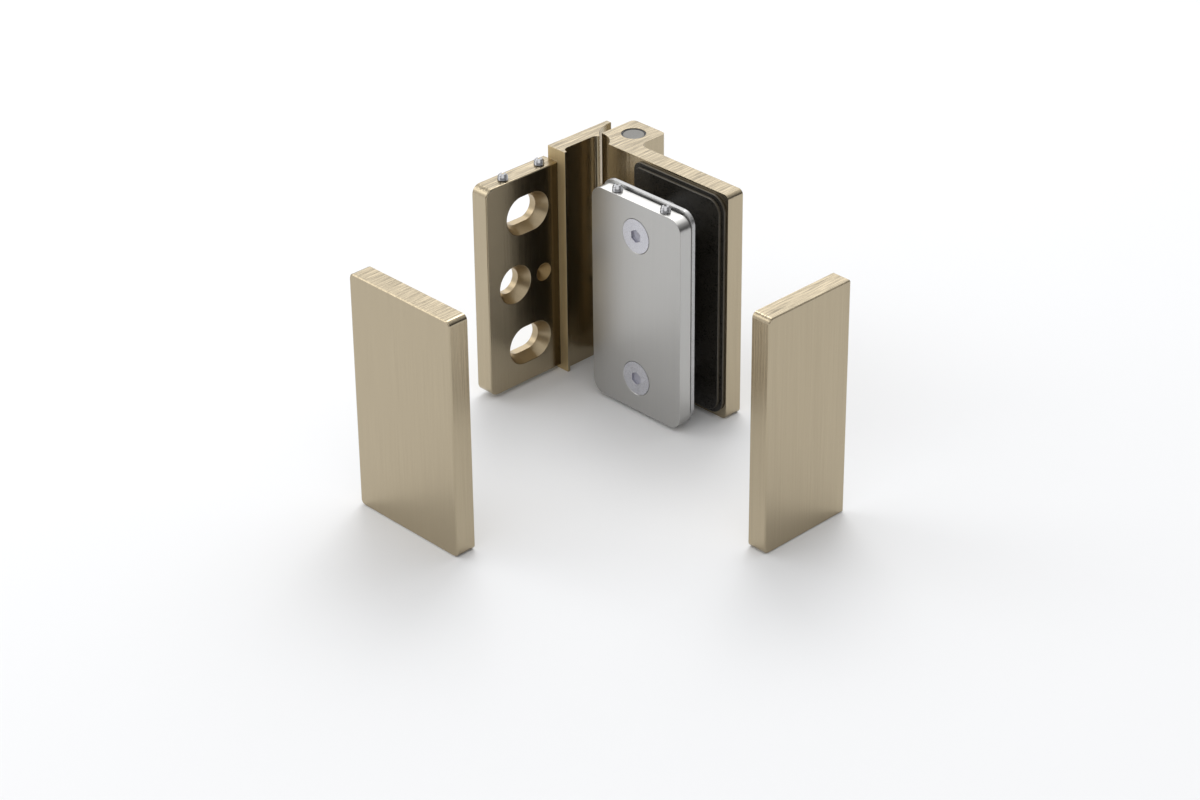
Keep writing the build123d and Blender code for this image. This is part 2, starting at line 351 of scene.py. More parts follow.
# Attribute that is 1 on the faces inside a hole, less where the shade painted in them is lighter, and 0
# elsewhere.
RECESS = "recess"


def mark_painted_shade(piece, test):
    """Marks the faces of a piece that lie inside a hole, so that its material can paint shade on them."""
    marks = piece.data.attributes.new(RECESS, "FLOAT", "FACE")
    marks.data.foreach_set("value", [test(face.center) for face in piece.data.polygons])
    return piece


def place(piece, node, material):
    """Gives a finished piece its material, and puts it on the body of the node that it stands for."""
    piece.data.materials.clear()
    piece.data.materials.append(material)
    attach(piece, frame["nodes"][node]["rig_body"])
    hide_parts(node)
    return piece


def node_size(node):
    """Middle and size of a node's box."""
    low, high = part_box(node)
    return (low + high) / 2, high - low


def bore_radius(node, middle, axis):
    """Radius of the hole through a ring or a sleeve, whose axis is 1 for Y or 2 for Z."""
    a, b = (i for i in range(3) if i != axis)
    points = [vertex.co for vertex in frame["nodes"][node].data.vertices]
    return min(math.hypot(point[a] - middle[a], point[b] - middle[b]) for point in points)


class ShaderGraph:
    """Adds nodes to a tree and links them, from left to right."""

    def __init__(self, tree):
        self.tree = tree
        self.column = 0

    def add(self, kind, **values):
        node = self.tree.nodes.new(kind)
        node.location = (self.column * 200, 0)
        self.column += 1
        for name, value in values.items():
            setattr(node, name, value)
        return node

    def link(self, source, target):
        self.tree.links.new(source, target)

    def feed(self, socket, value):
        """Links an output to a socket, or sets the socket to a constant."""
        if hasattr(value, "is_output"):
            self.link(value, socket)
        else:
            socket.default_value = value

    def math(self, operation, *values, clamp=False):
        node = self.add("ShaderNodeMath", operation=operation, use_clamp=clamp)
        for socket, value in zip(node.inputs, values):
            self.feed(socket, value)
        return node.outputs[0]

    def all_of(self, mask, *tests):
        """The mask where every test, an operation with its two values, holds, and 0 elsewhere."""
        for test in tests:
            mask = self.math("MULTIPLY", mask, self.math(*test))
        return mask

    def remap(self, *values):
        """A value moved smoothly from one range to another: value, low, high, new low, new high."""
        node = self.add("ShaderNodeMapRange", interpolation_type="SMOOTHSTEP")
        for socket, value in zip(node.inputs, values):
            self.feed(socket, value)
        return node.outputs[0]

    def noise(self, vector, scale, detail, roughness):
        node = self.add("ShaderNodeTexNoise")
        self.link(vector, node.inputs["Vector"])
        node.inputs["Scale"].default_value = scale
        node.inputs["Detail"].default_value = detail
        node.inputs["Roughness"].default_value = roughness
        return node.outputs["Fac"]

    def stretched(self, vector, scale):
        node = self.add("ShaderNodeMapping")
        self.link(vector, node.inputs["Vector"])
        node.inputs["Scale"].default_value = scale
        return node.outputs["Vector"]

    def split(self, vector):
        """The X, Y and Z of a vector."""
        node = self.add("ShaderNodeSeparateXYZ")
        self.link(vector, node.inputs[0])
        return node.outputs

    def mix_value(self, factor, a, b):
        node = self.add("ShaderNodeMix", data_type="FLOAT")
        for socket, value in zip((node.inputs[0], node.inputs[2], node.inputs[3]), (factor, a, b)):
            self.feed(socket, value)
        return node.outputs[0]

    def mix_colour(self, factor, a, b, blend="MIX"):
        node = self.add("ShaderNodeMix", data_type="RGBA", blend_type=blend)
        for socket, value in zip((node.inputs[0], node.inputs[6], node.inputs[7]), (factor, a, b)):
            self.feed(socket, value)
        return node.outputs[2]

    def bump(self, height, strength, distance):
        node = self.add("ShaderNodeBump")
        node.inputs["Distance"].default_value = distance
        self.link(strength, node.inputs["Strength"])
        self.link(height, node.inputs["Height"])
        return node.outputs[0]


TWO_TONES = {"Dark": (0.4, 0.4, 0.4, 1), "Light": (0.6, 0.6, 0.6, 1)}
EFFECT_OUTPUTS = {"Color": "NodeSocketColor", "Roughness": "NodeSocketFloat", "Normal": "NodeSocketVector"}


def new_group(name, inputs):
    """Empty shader group with two tones and the float inputs {name: default}, and its graph and ends."""
    tree = bpy.data.node_groups.new(name, "ShaderNodeTree")
    for label, default in {**TWO_TONES, **inputs}.items():
        kind = "NodeSocketColor" if label in TWO_TONES else "NodeSocketFloat"
        socket = tree.interface.new_socket(label, in_out="INPUT", socket_type=kind)
        socket.default_value = default
    for label, kind in EFFECT_OUTPUTS.items():
        tree.interface.new_socket(label, in_out="OUTPUT", socket_type=kind)
    graph = ShaderGraph(tree)
    given, out = graph.add("NodeGroupInput"), graph.add("NodeGroupOutput")
    return tree, graph, given.outputs, out.inputs


# Strokes in a metre along X, Y and Z: upright ones on the sides, and ones along Y on the sawn ends.
SIDE_STROKES, SIDE_DETAIL, SIDE_FINENESS = (2200, 2200, 30), 2, 0.5
TOP_STROKES, TOP_DETAIL, TOP_FINENESS = (1500, 55, 1500), 3, 0.8
GRAIN_DEPTH = 0.25 * MM
# The noise keeps close to its middle, so it is drawn out before it mixes the two tones.
GRAIN_STRETCH = 3.0
# How much of the grain, at full contrast, goes into the roughness.
GRAIN_GLOSS = 0.6
# The sawn ends of the pieces lie further than this from the middle of the hinge's height, and their
# grain comes in between these two shares of facing straight up or down.
SAWN_ENDS = 38 * MM
SAWN_START, SAWN_FULL = 0.62, 0.8


def grain_group():
    """Brushed grain: upright on the sides of a piece, and along Y on its sawn top and bottom, which also
    get painted light and shade.
    """
    found = bpy.data.node_groups.get("Brushed grain")
    if found:
        return found
    tree, graph, given, out = new_group("Brushed grain", {
        "Side contrast": 0.3, "Top contrast": 0.8, "Side relief": 0.1, "Top relief": 0.4,
        "Top tone": 1.0, "Roughness": 0.35,
    })
    coordinates = graph.add("ShaderNodeTexCoord").outputs
    here = coordinates["Object"]
    upward = graph.math("ABSOLUTE", graph.split(coordinates["Normal"])[2])
    flat_on = graph.remap(upward, SAWN_START, SAWN_FULL, 0.0, 1.0)
    height = graph.math("ABSOLUTE", graph.split(here)[2])
    on_top = graph.all_of(flat_on, ("GREATER_THAN", height, SAWN_ENDS))

    side = graph.noise(graph.stretched(here, SIDE_STROKES), 1, SIDE_DETAIL, SIDE_FINENESS)
    top = graph.noise(graph.stretched(here, TOP_STROKES), 1, TOP_DETAIL, TOP_FINENESS)
    grain = graph.mix_value(on_top, side, top)
    contrast = graph.mix_value(on_top, given["Side contrast"], given["Top contrast"])
    widened = graph.math("MULTIPLY", graph.math("SUBTRACT", grain, 0.5), GRAIN_STRETCH)
    tone = graph.math("ADD", graph.math("MULTIPLY", widened, contrast), 0.5, clamp=True)
    # The colour of the sawn top and bottom is scaled by a factor of painted light and shade.
    cut = graph.add("ShaderNodeVectorMath", operation="SCALE")
    graph.link(graph.mix_colour(tone, given["Dark"], given["Light"]), cut.inputs[0])
    graph.link(graph.mix_value(on_top, 1.0, given["Top tone"]), cut.inputs["Scale"])
    graph.link(cut.outputs[0], out["Color"])

    uneven = graph.math("MULTIPLY", graph.math("SUBTRACT", 0.5, grain), contrast)
    spread = graph.math("MULTIPLY", uneven, GRAIN_GLOSS)
    graph.link(graph.math("ADD", given["Roughness"], spread, clamp=True), out["Roughness"])
    relief = graph.mix_value(on_top, given["Side relief"], given["Top relief"])
    graph.link(graph.bump(grain, relief, GRAIN_DEPTH), out["Normal"])
    return tree


# Specks and patches in a metre, the detail of each, and how much of the patches is mixed in.
SPECKS, SPECK_DETAIL, SPECK_FINENESS = 3200, 3, 0.7
MOTTLE, MOTTLE_DETAIL, MOTTLE_FINENESS = 160, 3, 0.5
MOTTLE_SHARE = 0.3
# Where in the mixed noise the dark tone ends and the light tone starts.
SPECK_DARK, SPECK_LIGHT = 0.36, 0.66
# How much of the noise goes into the roughness.
SPECK_GLOSS = 0.5
SPECK_DEPTH = 0.05 * MM


def speck_group():
    """Fine grain of rubber, polymer and satin steel: a soft mottle with small specks."""
    found = bpy.data.node_groups.get("Fine specks")
    if found:
        return found
    tree, graph, given, out = new_group("Fine specks", {"Roughness": 0.5, "Relief": 0.2})
    here = graph.add("ShaderNodeTexCoord").outputs["Object"]
    specks = graph.noise(here, SPECKS, SPECK_DETAIL, SPECK_FINENESS)
    mottle = graph.noise(here, MOTTLE, MOTTLE_DETAIL, MOTTLE_FINENESS)
    blend = graph.mix_value(MOTTLE_SHARE, specks, mottle)
    tone = graph.remap(blend, SPECK_DARK, SPECK_LIGHT, 0.0, 1.0)
    graph.link(graph.mix_colour(tone, given["Dark"], given["Light"]), out["Color"])
    spread = graph.math("MULTIPLY", graph.math("SUBTRACT", blend, 0.5), SPECK_GLOSS)
    graph.link(graph.math("ADD", given["Roughness"], spread, clamp=True), out["Roughness"])
    graph.link(graph.bump(specks, given["Relief"], SPECK_DEPTH), out["Normal"])
    return tree


# The inner corner of the wall leaf: the plate's front and its end at the block, the block's front,
# and where along Y the shade painted on the plate starts and is full.
PLATE_FRONT, PLATE_INNER, BLOCK_FRONT = 7.2 * MM, 21.7 * MM, 14.0 * MM
CORNER_START, CORNER_FULL = 16.5 * MM, 19.5 * MM
# Painted shade on the plate in that corner, and painted light and roughness of the block's side.
CORNER_PAINTED_SHADE = (0.24, 0.22, 0.19)
BLOCK_PAINTED_LIGHT, BLOCK_ROUGHNESS = (1.5, 1.43, 1.2), 0.65
# Painted shade and roughness inside the marked holes.
GOLD_PAINTED_SHADE, STEEL_PAINTED_SHADE = (0.82, 0.68, 0.47), (0.85, 0.85, 0.9)
RECESS_ROUGHNESS = 0.55
# A sheet's rim comes in between these two shares of facing straight along Y.
RIM_FULL, RIM_START = 0.7, 0.95


def shaded(colour, factor=1.0):
    """A colour made darker or lighter, with full alpha."""
    return (*(channel * factor for channel in colour), 1.0)


def corner_masks(graph):
    """Masks of the two faces of the inner corner: the plate's front, where painted shade rises towards
    the block, and the block's side, which is painted lighter."""
    coordinates = graph.add("ShaderNodeTexCoord").outputs
    across, along, _ = graph.split(coordinates["Object"])
    ahead, aside, _ = graph.split(coordinates["Normal"])
    before_block = ("LESS_THAN", along, PLATE_INNER + NEAR)
    on_plate = graph.all_of(
        graph.remap(along, CORNER_START, CORNER_FULL, 0.0, 1.0),
        ("LESS_THAN", across, PLATE_FRONT + NEAR), before_block, ("GREATER_THAN", ahead, SQUARE),
    )
    on_block = graph.all_of(
        graph.math("GREATER_THAN", along, PLATE_INNER - NEAR),
        ("LESS_THAN", across, BLOCK_FRONT), before_block, ("LESS_THAN", aside, -SQUARE),
    )
    return on_plate, on_block


def finish(name, colour, span, group, metallic=1.0, rim=None, shade=None, corner=None, **values):
    """Material with two tones, a span below and above its colour, that takes its colour, roughness and
    normal from a group.

    rim is the colour of a sheet's cut edges, shade is the painted shade inside the marked holes, and
    corner is the painted shade of the wall plate in the inner corner where it meets the block, which
    comes with painted light on the block's side."""
    found = bpy.data.materials.get(name)
    if found:
        return found
    material = bpy.data.materials.new(name)
    material.use_nodes = True
    graph = ShaderGraph(material.node_tree)
    shader = material.node_tree.nodes["Principled BSDF"].inputs
    effect = graph.add("ShaderNodeGroup", node_tree=group)
    effect.inputs["Dark"].default_value = shaded(colour, 1 - span)
    effect.inputs["Light"].default_value = shaded(colour, 1 + span)
    for label, value in values.items():
        effect.inputs[label.replace("_", " ")].default_value = value
    tint, roughness = effect.outputs["Color"], effect.outputs["Roughness"]
    if rim is not None:
        facing = graph.split(graph.add("ShaderNodeTexCoord").outputs["Normal"])
        on_rim = graph.remap(graph.math("ABSOLUTE", facing[1]), RIM_FULL, RIM_START, 1.0, 0.0)
        tint = graph.mix_colour(on_rim, tint, shaded(rim))
    if shade is not None:
        # Shade is painted into the marked holes by darkening their colour.
        recess = graph.add("ShaderNodeAttribute", attribute_name=RECESS).outputs["Fac"]
        tint = graph.mix_colour(recess, tint, shaded(shade), "MULTIPLY")
        roughness = graph.mix_value(recess, roughness, RECESS_ROUGHNESS)
    if corner is not None:
        # Shade is painted on the plate's front towards the block, and light is painted on the block's
        # side.
        on_plate, on_block = corner_masks(graph)
        tint = graph.mix_colour(on_plate, tint, shaded(corner), "MULTIPLY")
        tint = graph.mix_colour(on_block, tint, shaded(BLOCK_PAINTED_LIGHT), "MULTIPLY")
        roughness = graph.mix_value(on_block, roughness, BLOCK_ROUGHNESS)
    graph.link(tint, shader["Base Color"])
    graph.link(roughness, shader["Roughness"])
    graph.link(effect.outputs["Normal"], shader["Normal"])
    shader["Metallic"].default_value = metallic
    return material


def brushed_gold():
    # The sawn tops are painted a little darker, as shade.
    return finish(
        "Brushed gold", settings().hinge_colours.gold, span=0.45, group=grain_group(),
        shade=GOLD_PAINTED_SHADE, corner=CORNER_PAINTED_SHADE, Side_contrast=0.07, Top_contrast=1.15,
        Side_relief=0.14, Top_relief=0.3, Top_tone=0.91, Roughness=0.22,
    )


def brushed_clamp():
    # The sawn top is painted half again as bright, as a painted highlight.
    return finish(
        "Brushed clamp plate", settings().hinge_colours.steel, span=0.3, group=grain_group(),
        Side_contrast=0.03, Top_contrast=0.1, Side_relief=0.02, Top_relief=0.03, Top_tone=1.5,
        Roughness=0.28,
    )


def screw_steel():
    return finish(
        "Screw steel", settings().hinge_colours.screw, span=0.1, group=speck_group(),
        shade=STEEL_PAINTED_SHADE, Roughness=0.28, Relief=0.05,
    )


def jack_steel():
    return finish(
        "Jack screw steel", settings().hinge_colours.jack, span=0.1, group=speck_group(),
        Roughness=0.16, Relief=0.03,
    )


def pin_steel():
    return finish(
        "Pin steel", settings().hinge_colours.pin, span=0.15, group=speck_group(),
        Roughness=0.35, Relief=0.1,
    )


def black_rubber():
    return finish(
        "Black rubber", settings().hinge_colours.rubber, span=0.5, group=speck_group(),
        metallic=0.0, rim=settings().hinge_colours.rubber_edge, Roughness=0.3, Relief=0.35,
    )


def pale_pad():
    return finish(
        "Pale pad", settings().hinge_colours.pad, span=0.1, group=speck_group(),
        metallic=0.85, Roughness=0.3, Relief=0.1,
    )


def dark_polymer():
    return finish(
        "Dark polymer", settings().hinge_colours.polymer, span=0.25, group=speck_group(),
        metallic=0.0, Roughness=0.4, Relief=0.15,
    )


def pale_polymer():
    return finish(
        "Pale polymer", settings().hinge_colours.sleeve, span=0.1, group=speck_group(),
        metallic=0.0, Roughness=0.35, Relief=0.1,
    )


def tube(name, middle, outer, inner, length):
    """Ring or sleeve on the Z axis, drawn up and folded in from one circle."""
    foot, share = middle - Vector((0, 0, length / 2)), inner / outer
    deselect()
    bpy.ops.mesh.primitive_circle_add(
        vertices=RING_SIDES, radius=outer, fill_type="NOTHING", location=foot
    )
    piece = settle(added(name))
    edit_all(piece)
    bpy.ops.mesh.extrude_edges_move(TRANSFORM_OT_translate={"value": (0, 0, length)})
    bpy.ops.mesh.extrude_edges_move(TRANSFORM_OT_translate={"value": (0, 0, 0)})
    bpy.ops.transform.resize(value=(share, share, 1), center_override=middle)
    bpy.ops.mesh.extrude_edges_move(TRANSFORM_OT_translate={"value": (0, 0, -length)})
    leave_edit()
    edit_where(piece, "EDGE", at_height(foot.z))
    bpy.ops.mesh.bridge_edge_loops()
    bpy.ops.mesh.select_all(action="SELECT")
    bpy.ops.mesh.normals_make_consistent(inside=False)
    leave_edit()
    return piece


def threaded_rod(name, radius, length, pitch):
    """Rod with a helical thread, from z 0 to its length: a groove screwed up the axis."""
    depth = pitch * settings().hinge_threads.depth
    deselect()
    bpy.ops.mesh.primitive_circle_add(
        vertices=3, radius=pitch / math.sqrt(3), fill_type="NOTHING",
        rotation=(math.pi / 2, math.pi / 2, 0),
    )
    piece = settle(added(name))
    # The triangle's outer corner becomes the bottom of the groove, and the other two its crests.
    reaches = [vertex.co.x for vertex in piece.data.vertices]
    nearest, furthest = min(reaches), max(reaches)
    for vertex in piece.data.vertices:
        share = (vertex.co.x - nearest) / (furthest - nearest)
        vertex.co.x = radius - share * depth
        vertex.co.z -= pitch
    edit_where(piece, "EDGE", lambda a, b: max(abs(a.x - radius), abs(b.x - radius)) < MERGE)
    bpy.ops.mesh.delete(type="EDGE")
    leave_edit()
    turns = math.ceil(length / pitch) + 2
    apply_modifier(
        piece, "SCREW", axis="Z", angle=math.tau, screw_offset=pitch, iterations=turns,
        steps=THREAD_STEPS, render_steps=THREAD_STEPS, use_merge_vertices=True,
        merge_threshold=MERGE, use_smooth_shade=False,
    )
    for height, outward in ((0, -1), (length, 1)):
        edit_all(piece)
        bpy.ops.mesh.remove_doubles(threshold=MERGE)
        bpy.ops.mesh.bisect(
            plane_co=(0, 0, height), plane_no=(0, 0, outward), use_fill=True, clear_outer=True
        )
        leave_edit()
    edit_all(piece)
    bpy.ops.mesh.normals_make_consistent(inside=False)
    leave_edit()
    return piece


def turn_down(piece, height, radius, bevel):
    """Turns the thread down to a short cone at one end of a rod."""
    for vertex in piece.data.vertices:
        limit = radius - max(0.0, bevel - abs(height - vertex.co.z))
        reach = math.hypot(vertex.co.x, vertex.co.y)
        if reach > limit:
            vertex.co.x *= limit / reach
            vertex.co.y *= limit / reach


def turn_into_place(piece, turn, move):
    """Turns a piece that was made on the Z axis, moves it and settles it."""
    piece.rotation_euler = Euler(turn)
    piece.location = move
    return settle(piece)


# Place along the wall, height and travel of the three screw holes: one round and two slotted.
SCREW_HOLES = ((0.0, 0.0, 0.0), (6.7 * MM, 26.4 * MM, 5.2 * MM), (6.7 * MM, -26.4 * MM, 5.2 * MM))
MOUTH_RADIUS, BORE_RADIUS, SINK_DEPTH = 7.53 * MM, 5.0 * MM, 4.2 * MM
# How far the tool that cuts a countersink reaches past it at both ends.
SINK_OVER = 0.5 * MM
SEAT_ALONG, SEAT_REACH = 14.0 * MM, 3.6 * MM
# The screw holes get this share of the shade painted in the seat.
HOLE_SHADE = 0.3


def sink_tool(along, height, travel):
    """Cone on the X axis that deepens a countersink, drawn out along Y for a slotted hole."""
    slope = (MOUTH_RADIUS - BORE_RADIUS) / SINK_DEPTH
    deselect()
    bpy.ops.mesh.primitive_cone_add(
        vertices=ROUND_SIDES, radius1=BORE_RADIUS - slope * SINK_OVER,
        radius2=MOUTH_RADIUS + slope * SINK_OVER, depth=SINK_DEPTH + 2 * SINK_OVER,
        location=(PLATE_FRONT - SINK_DEPTH / 2, along, height), rotation=(0, math.pi / 2, 0),
    )
    tool = settle(added("sink_tool"))
    for vertex in tool.data.vertices:
        side = vertex.co.y - along
        if abs(side) > MERGE:
            vertex.co.y += math.copysign(travel / 2, side)
    edit_all(tool)
    bpy.ops.mesh.quads_convert_to_tris()
    leave_edit()
    return tool


def screw_hole_shade(spot):
    """How deep the painted shade is at a place on the wall plate: full in the seat, lighter in the screw
    holes.
    """
    if not 0 < spot.x < PLATE_FRONT - SKIN:
        return 0.0
    if math.hypot(spot.y - SEAT_ALONG, spot.z) < SEAT_REACH:
        return 1.0
    for along, height, travel in SCREW_HOLES:
        side = max(0.0, abs(spot.y - along) - travel / 2)
        if math.hypot(side, spot.z - height) < MOUTH_RADIUS + NEAR:
            return HOLE_SHADE
    return 0.0


class HINGE_OT_leaves(bpy.types.Operator):
    """Ease and finish the two castings"""
    bl_idname = "hinge.leaves"
    bl_label = "Leaves"

    def execute(self, context):
        edge = settings().hinge_edges.casting
        wall = casting_copy("wall_leaf", "wall_leaf_casting")
        for hole in SCREW_HOLES:
            cut_with(wall, sink_tool(*hole))
        mark_painted_shade(ease(wall, edge), screw_hole_shade)
        place(wall, "wall_leaf", brushed_gold())

        glass = ease(casting_copy("glass_leaf", "glass_leaf_casting"), edge)
        place(glass, "glass_leaf", brushed_gold())
        return {"FINISHED"}


class HINGE_OT_covers(bpy.types.Operator):
    """Ease and finish the two cover caps"""
    bl_idname = "hinge.covers"
    bl_label = "Covers"

    def execute(self, context):
        for node in ("wall_cover", "clamp_cover"):
            piece = ease(casting_copy(node, node + "_cap"), settings().hinge_edges.cover)
            place(piece, node, brushed_gold())
        return {"FINISHED"}


# Dark slot in the rear top edge of the clamp plate, and how far it stays clear of the middle of the
# near jack screw and of the plate's far end.
EDGE_SLOT_WIDTH, EDGE_SLOT_DEPTH = 0.8 * MM, 1.6 * MM
EDGE_SLOT_START, EDGE_SLOT_END = 1.2 * MM, 4.0 * MM


class HINGE_OT_clamp_plate(bpy.types.Operator):
    """Slot, ease and finish the clamp plate"""
    bl_idname = "hinge.clamp_plate"
    bl_label = "Clamp plate"

    def execute(self, context):
        piece = casting_copy("clamp_plate", "clamp_plate_steel")
        _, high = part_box("clamp_plate")
        near, _ = node_size("clamp_jack_screw_near")
        start, end = near.x + EDGE_SLOT_START, high.x - EDGE_SLOT_END
        deselect()
        bpy.ops.mesh.primitive_cube_add(size=1, location=((start + end) / 2, high.y, high.z))
        tool = added("edge_slot_tool")
        tool.scale = (end - start, 2 * EDGE_SLOT_WIDTH, 2 * EDGE_SLOT_DEPTH)
        settle(tool)
        ease(cut_with(piece, tool), settings().hinge_edges.clamp)
        place(piece, "clamp_plate", brushed_clamp())
        return {"FINISHED"}


class HINGE_OT_rubbers(bpy.types.Operator):
    """Round the gasket sheets and the clamp pad"""
    bl_idname = "hinge.rubbers"
    bl_label = "Gasket and pad"

    def execute(self, context):
        finishes = {
            "gasket_sheet": (black_rubber(), "black_rubber"),
            "gasket_pad": (black_rubber(), "black_rubber"),
            "clamp_pad": (pale_pad(), "pale_pad"),
        }
        for node, (material, slot) in finishes.items():
            piece = ease(casting_copy(node, node + "_rubber"), settings().hinge_edges.rubber)
            place(piece, node, material)
        return {"FINISHED"}


PIN_BEVEL = 0.25 * MM


class HINGE_OT_pin(bpy.types.Operator):
    """Turn the hinge pin, its bushes and its washers"""
    bl_idname = "hinge.pin"
    bl_label = "Pin, bushes and washers"

    def execute(self, context):
        middle, size = node_size("hinge_pin")
        deselect()
        bpy.ops.mesh.primitive_cylinder_add(
            vertices=ROUND_SIDES, radius=size.x / 2, depth=size.z, location=middle
        )
        pin = settle(added("hinge_pin_turned"))
        edit_where(pin, "EDGE", at_height(middle.z - size.z / 2, middle.z + size.z / 2))
        bpy.ops.mesh.bevel(offset=PIN_BEVEL, segments=4, affect="EDGES")
        leave_edit()
        place(smooth(pin), "hinge_pin", pin_steel())

        for node in ("upper_bush", "lower_bush", "upper_washer", "lower_washer"):
            middle, size = node_size(node)
            bore = bore_radius(node, middle, 2)
            ring = tube(node + "_turned", middle, size.x / 2, bore, size.z)
            ease(ring, settings().hinge_edges.turned)
            place(ring, node, dark_polymer())
        return {"FINISHED"}


class HINGE_OT_sleeves(bpy.types.Operator):
    """Turn the two sleeves that keep the glass off the bolts"""
    bl_idname = "hinge.sleeves"
    bl_label = "Bolt sleeves"

    def execute(self, context):
        for node in ("bolt_sleeve_upper", "bolt_sleeve_lower"):
            middle, size = node_size(node)
            bore = bore_radius(node, middle, 1)
            piece = tube(node + "_turned", Vector(), size.x / 2, bore, size.y)
            turn_into_place(piece, (math.pi / 2, 0, 0), middle)
            ease(piece, settings().hinge_edges.turned)
            place(piece, node, pale_polymer())
        return {"FINISHED"}


JACK_HEAD_BEVEL, JACK_TIP_BEVEL = 0.7 * MM, 0.6 * MM
JACK_SLOT_WIDTH, JACK_SLOT_DEPTH, JACK_SLOT_TURN = 0.9 * MM, 1.0 * MM, math.radians(-45)


def slotted_screw(name, radius, length):
    """Threaded grub screw on the Z axis with a slot across its top."""
    screw = threaded_rod(name, radius, length, settings().hinge_threads.jack_pitch)
    turn_down(screw, length, radius, JACK_HEAD_BEVEL)
    turn_down(screw, 0, radius, JACK_TIP_BEVEL)
    deselect()
    bpy.ops.mesh.primitive_cube_add(size=1, location=(0, 0, length), rotation=(0, 0, JACK_SLOT_TURN))
    tool = added("slot_tool")
    tool.scale = (4 * radius, JACK_SLOT_WIDTH, 2 * JACK_SLOT_DEPTH)
    settle(tool)
    return cut_with(screw, tool)


class HINGE_OT_jack_screws(bpy.types.Operator):
    """Cut the threads and slots of the four jack screws"""
    bl_idname = "hinge.jack_screws"
    bl_label = "Jack screws"

    def execute(self, context):
        _, size = node_size("wall_jack_screw_near")
        master = slotted_screw("jack_screw", size.x / 2, size.z)
        for node in ("wall_jack_screw_near", "wall_jack_screw_far",
                     "clamp_jack_screw_near", "clamp_jack_screw_far"):
            middle, size = node_size(node)
            piece = copied(master, node + "_threaded")
            turn_into_place(piece, (0, 0, 0), middle - Vector((0, 0, size.z / 2)))
            place(smooth(piece), node, jack_steel())
        bpy.data.objects.remove(master)
        return {"FINISHED"}


BOLT_RADIUS, BOLT_TIP_BEVEL = 3.0 * MM, 0.8 * MM
# Play round a bolt's head, and the threaded share of its length.
HEAD_PLAY, THREAD_SHARE = 0.14 * MM, 0.45
SOCKET_WIDTH, SOCKET_DEPTH = 4.4 * MM, 0.9 * MM
# How far from the axis and how deep under the head's flat the shade painted in the socket reaches.
SHADE_REACH, SHADE_DEPTH = 2.6 * MM, 2.0 * MM
# A socket's drill point is as deep as this part of its corner radius, and its tip is this share wide.
POINT_FLATNESS, POINT_TIP = 12, 0.1


def hexagon_tool(width, depth, top):
    """Six-sided punch on the Z axis with a drill point, to cut a socket of that depth under a height."""
    deselect()
    corner = width / math.sqrt(3)
    bpy.ops.mesh.primitive_cylinder_add(vertices=6, radius=corner, depth=2 * depth, location=(0, 0, top))
    tool = settle(added("socket_tool"))
    edit_where(tool, "FACE", faces_down)
    bpy.ops.mesh.extrude_region_move(TRANSFORM_OT_translate={"value": (0, 0, -corner / POINT_FLATNESS)})
    bpy.ops.transform.resize(value=(POINT_TIP, POINT_TIP, 1), center_override=(0, 0, top - depth))
    leave_edit()
    return tool


def countersunk_bolt(name, head, length):
    """Bolt on the Z axis, its tip at z 0 and the flat of its countersunk head at its length."""
    cone, thread_length = head - BOLT_RADIUS, THREAD_SHARE * length
    deselect()
    bpy.ops.mesh.primitive_cone_add(
        vertices=ROUND_SIDES, radius1=BOLT_RADIUS, radius2=head, depth=cone,
        location=(0, 0, length - cone / 2),
    )
    bolt = settle(added(name))
    edit_where(bolt, "FACE", faces_down)
    bpy.ops.mesh.extrude_region_move(
        TRANSFORM_OT_translate={"value": (0, 0, thread_length + cone - length)}
    )
    leave_edit()
    cut_with(bolt, hexagon_tool(SOCKET_WIDTH, SOCKET_DEPTH, length))
    apply_modifier(
        bolt, "BEVEL", limit_method="ANGLE", angle_limit=SHARP_ANGLE, segments=3,
        width=settings().hinge_edges.turned, use_clamp_overlap=False,
    )
    pitch = settings().hinge_threads.bolt_pitch
    thread = threaded_rod("bolt_thread", BOLT_RADIUS, thread_length + pitch, pitch)
    turn_down(thread, 0, BOLT_RADIUS, BOLT_TIP_BEVEL)
    return cut_with(bolt, thread, "UNION")


class HINGE_OT_clamp_bolts(bpy.types.Operator):
    """Make the two countersunk clamp bolts"""
    bl_idname = "hinge.clamp_bolts"
    bl_label = "Clamp bolts"

    def execute(self, context):
        _, size = node_size("clamp_bolt_upper")
        master = countersunk_bolt("clamp_bolt", size.x / 2 - HEAD_PLAY, size.y)
        for node in ("clamp_bolt_upper", "clamp_bolt_lower"):
            middle, size = node_size(node)
            flat = middle.y - size.y / 2 + SKIN

            def in_socket(spot):
                reach = math.hypot(spot.x - middle.x, spot.z - middle.z)
                return float(reach < SHADE_REACH and flat < spot.y < flat + SHADE_DEPTH)

            piece = copied(master, node + "_threaded")
            turn_into_place(piece, (math.pi / 2, 0, 0), middle + Vector((0, size.y / 2, 0)))
            mark_painted_shade(piece, in_socket)
            place(smooth(piece), node, screw_steel())
        bpy.data.objects.remove(master)
        return {"FINISHED"}


LOCK_SOCKET_WIDTH, LOCK_SOCKET_DEPTH, LOCK_BEVEL = 2.0 * MM, 1.8 * MM, 0.3 * MM


